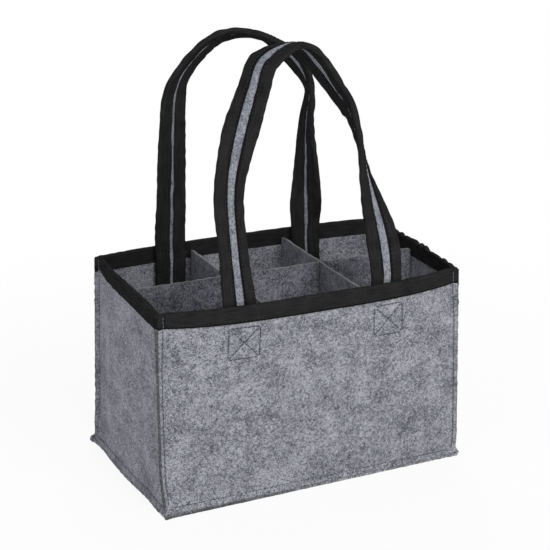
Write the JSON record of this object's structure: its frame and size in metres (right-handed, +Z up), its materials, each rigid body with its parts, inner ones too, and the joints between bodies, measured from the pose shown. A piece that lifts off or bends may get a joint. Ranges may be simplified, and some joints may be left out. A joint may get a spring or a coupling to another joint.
{
  "type": "felt bottle bag",
  "caption": "Open felt carrier bag with a box-shaped body, taped rim, sewn strap handles and a felt divider that keeps bottles apart.",
  "frame": {"origin": "on the floor under the middle of the bag", "axes": "+Z up, +X along the width, the front wall toward -Y"},
  "size_m": [0.2532, 0.1568, 0.3325],
  "materials": {
    "outer_felt": "mottled needle felt",
    "divider_felt": "mottled needle felt",
    "strap_felt": "mottled needle felt",
    "black_tape": "woven tape",
    "thread": "twisted thread"
  },
  "bodies": {
    "bag": {"front_panel": "outer_felt", "front_rim_binding": "black_tape", "front_binding_thread": "thread", "front_base_thread": "thread", "front_panel_seam_thread_a": "thread", "front_panel_seam_thread_b": "thread", "right_panel": "outer_felt", "right_rim_binding": "black_tape", "right_binding_thread": "thread", "right_base_thread": "thread", "right_panel_seam_thread_a": "thread", "right_panel_seam_thread_b": "thread", "back_panel": "outer_felt", "back_rim_binding": "black_tape", "back_binding_thread": "thread", "back_base_thread": "thread", "back_panel_seam_thread_a": "thread", "back_panel_seam_thread_b": "thread", "left_panel": "outer_felt", "left_rim_binding": "black_tape", "left_binding_thread": "thread", "left_base_thread": "thread", "left_panel_seam_thread_a": "thread", "left_panel_seam_thread_b": "thread", "bottom_panel": "outer_felt", "front_left_foot_core": "strap_felt", "front_left_foot_outer_tape": "black_tape", "front_left_foot_inner_tape": "black_tape", "front_left_stitch_box": "thread", "front_right_foot_core": "strap_felt", "front_right_foot_outer_tape": "black_tape", "front_right_foot_inner_tape": "black_tape", "front_right_stitch_box": "thread", "back_left_foot_core": "strap_felt", "back_left_foot_outer_tape": "black_tape", "back_left_foot_inner_tape": "black_tape", "back_left_stitch_box": "thread", "back_right_foot_core": "strap_felt", "back_right_foot_outer_tape": "black_tape", "back_right_foot_inner_tape": "black_tape", "back_right_stitch_box": "thread"},
    "front_handle": {"front_handle_core": "strap_felt", "front_handle_outer_tape": "black_tape", "front_handle_inner_tape": "black_tape"},
    "back_handle": {"back_handle_core": "strap_felt", "back_handle_outer_tape": "black_tape", "back_handle_inner_tape": "black_tape"},
    "divider_insert": {"long_divider": "divider_felt", "left_cross_divider": "divider_felt", "right_cross_divider": "divider_felt"}
  },
  "joints": [
    {"name": "front_handle_fold", "type": "hinge", "parent": "bag", "child": "front_handle", "pos_m": [0, -0.07619, 0.1564], "axis": [1, 0, 0], "range_deg": [-7.5, 150]},
    {"name": "back_handle_fold", "type": "hinge", "parent": "bag", "child": "back_handle", "pos_m": [0, 0.07022, 0.1564], "axis": [-1, 0, 0], "range_deg": [-7.5, 150]},
    {"name": "divider_lift", "type": "slide", "parent": "bag", "child": "divider_insert", "axis": [0, 0, 1], "range_m": [0, 0.05]}
  ]
}
